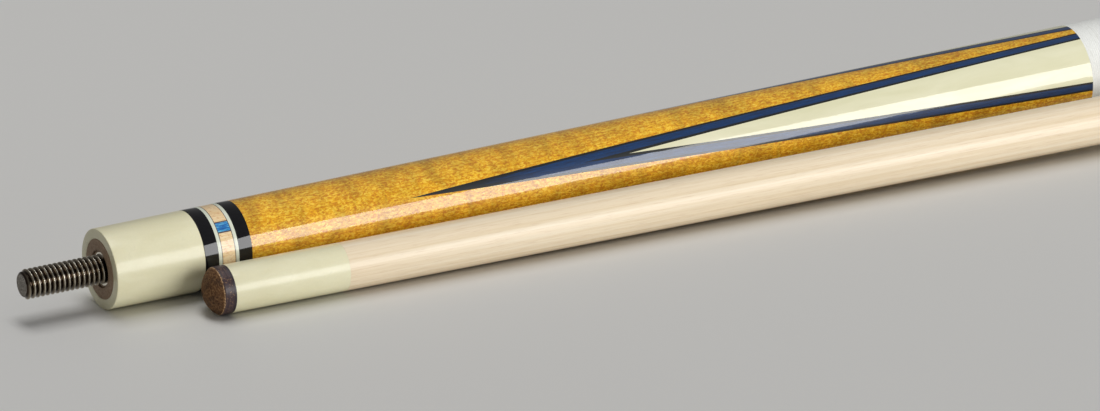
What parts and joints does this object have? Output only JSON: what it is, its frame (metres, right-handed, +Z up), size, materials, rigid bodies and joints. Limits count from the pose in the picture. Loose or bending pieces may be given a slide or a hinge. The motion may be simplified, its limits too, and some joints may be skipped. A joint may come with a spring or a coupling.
{
  "type": "pool cue",
  "caption": "Two-piece pool cue, taken apart, with a threaded joint pin, inlaid ring work, veneered points, wrapped handle and leather tip.",
  "frame": {"origin": "centre of the bounding box at table level, with both halves lying side by side on z = 0", "axes": "+X along the butt from its joint face to its cap, +Z up from the table, the shaft half on the -Y side"},
  "size_m": [0.7794, 0.0664, 0.0313],
  "materials": {
    "pin_steel": "turned stainless steel, cut thread",
    "ivory_polymer": "polished ivory-coloured polymer",
    "black_ring": "polished black phenolic",
    "white_ring": "polished off-white polymer",
    "dark_line": "thin dark veneer",
    "ring_maple": "pale maple under gloss lacquer",
    "ring_blue": "streaked blue inlay",
    "forearm_maple": "honey-coloured figured maple under gloss lacquer",
    "ivory_inlay": "ivory-coloured inlay under gloss lacquer",
    "blue_veneer": "navy dyed veneer under gloss lacquer",
    "black_veneer": "black dyed veneer under gloss lacquer",
    "wrap_linen": "white pressed linen cord",
    "handle_wood": "plain maple",
    "screw_steel": "plain steel",
    "sleeve_maple": "honey-coloured figured maple under gloss lacquer",
    "bumper_rubber": "matt black rubber",
    "tip_leather": "pressed leather, burnished side",
    "pad_fibre": "dark vulcanised fibre",
    "shaft_maple": "pale straight-grained maple, satin",
    "insert_brass": "turned brass"
  },
  "bodies": {
    "butt": {"joint_pin": "pin_steel", "joint_collar": "ivory_polymer", "ring_lines": "dark_line", "ring_black_front": "black_ring", "ring_white_front": "white_ring", "ring_white_rear": "white_ring", "ring_black_rear": "black_ring", "ring_blue_1": "ring_blue", "ring_blue_2": "ring_blue", "ring_blue_3": "ring_blue", "ring_blue_4": "ring_blue", "ring_maple_1": "ring_maple", "ring_maple_2": "ring_maple", "ring_maple_3": "ring_maple", "ring_maple_4": "ring_maple", "ring_liners": "dark_line", "forearm": "forearm_maple", "point_veneer_outer_1": "black_veneer", "point_veneer_outer_2": "black_veneer", "point_veneer_outer_3": "black_veneer", "point_veneer_outer_4": "black_veneer", "point_veneer_blue_1": "blue_veneer", "point_veneer_blue_2": "blue_veneer", "point_veneer_blue_3": "blue_veneer", "point_veneer_blue_4": "blue_veneer", "point_veneer_inner_1": "black_veneer", "point_veneer_inner_2": "black_veneer", "point_veneer_inner_3": "black_veneer", "point_veneer_inner_4": "black_veneer", "point_1": "ivory_inlay", "point_2": "ivory_inlay", "point_3": "ivory_inlay", "point_4": "ivory_inlay", "wrap": "wrap_linen", "handle": "handle_wood", "joint_screw": "screw_steel", "sleeve_ring_black": "black_ring", "sleeve_ring_white": "white_ring", "sleeve_ring_dark": "dark_line", "sleeve_ring_blue": "ring_blue", "sleeve_ring_maple": "ring_maple", "butt_sleeve": "sleeve_maple", "cap_ring": "black_ring", "butt_cap": "ivory_polymer", "weight_bolt": "screw_steel"},
    "bumper": {"bumper": "bumper_rubber"},
    "shaft": {"tip": "tip_leather", "tip_pad": "pad_fibre", "ferrule": "ivory_polymer", "shaft": "shaft_maple", "shaft_ring_black": "black_ring", "shaft_ring_white": "white_ring", "shaft_ring_dark": "dark_line", "shaft_ring_blue": "ring_blue", "shaft_ring_maple": "ring_maple", "shaft_collar": "ivory_polymer", "shaft_insert": "insert_brass"}
  },
  "joints": [
    {"name": "shaft_draw", "type": "slide", "parent": "butt", "child": "shaft", "axis": [-1, 0, 0], "range_m": [0, 0.79]},
    {"name": "bumper_pull", "type": "slide", "parent": "butt", "child": "bumper", "axis": [1, 0, 0.0067], "range_m": [0, 0.03]}
  ]
}
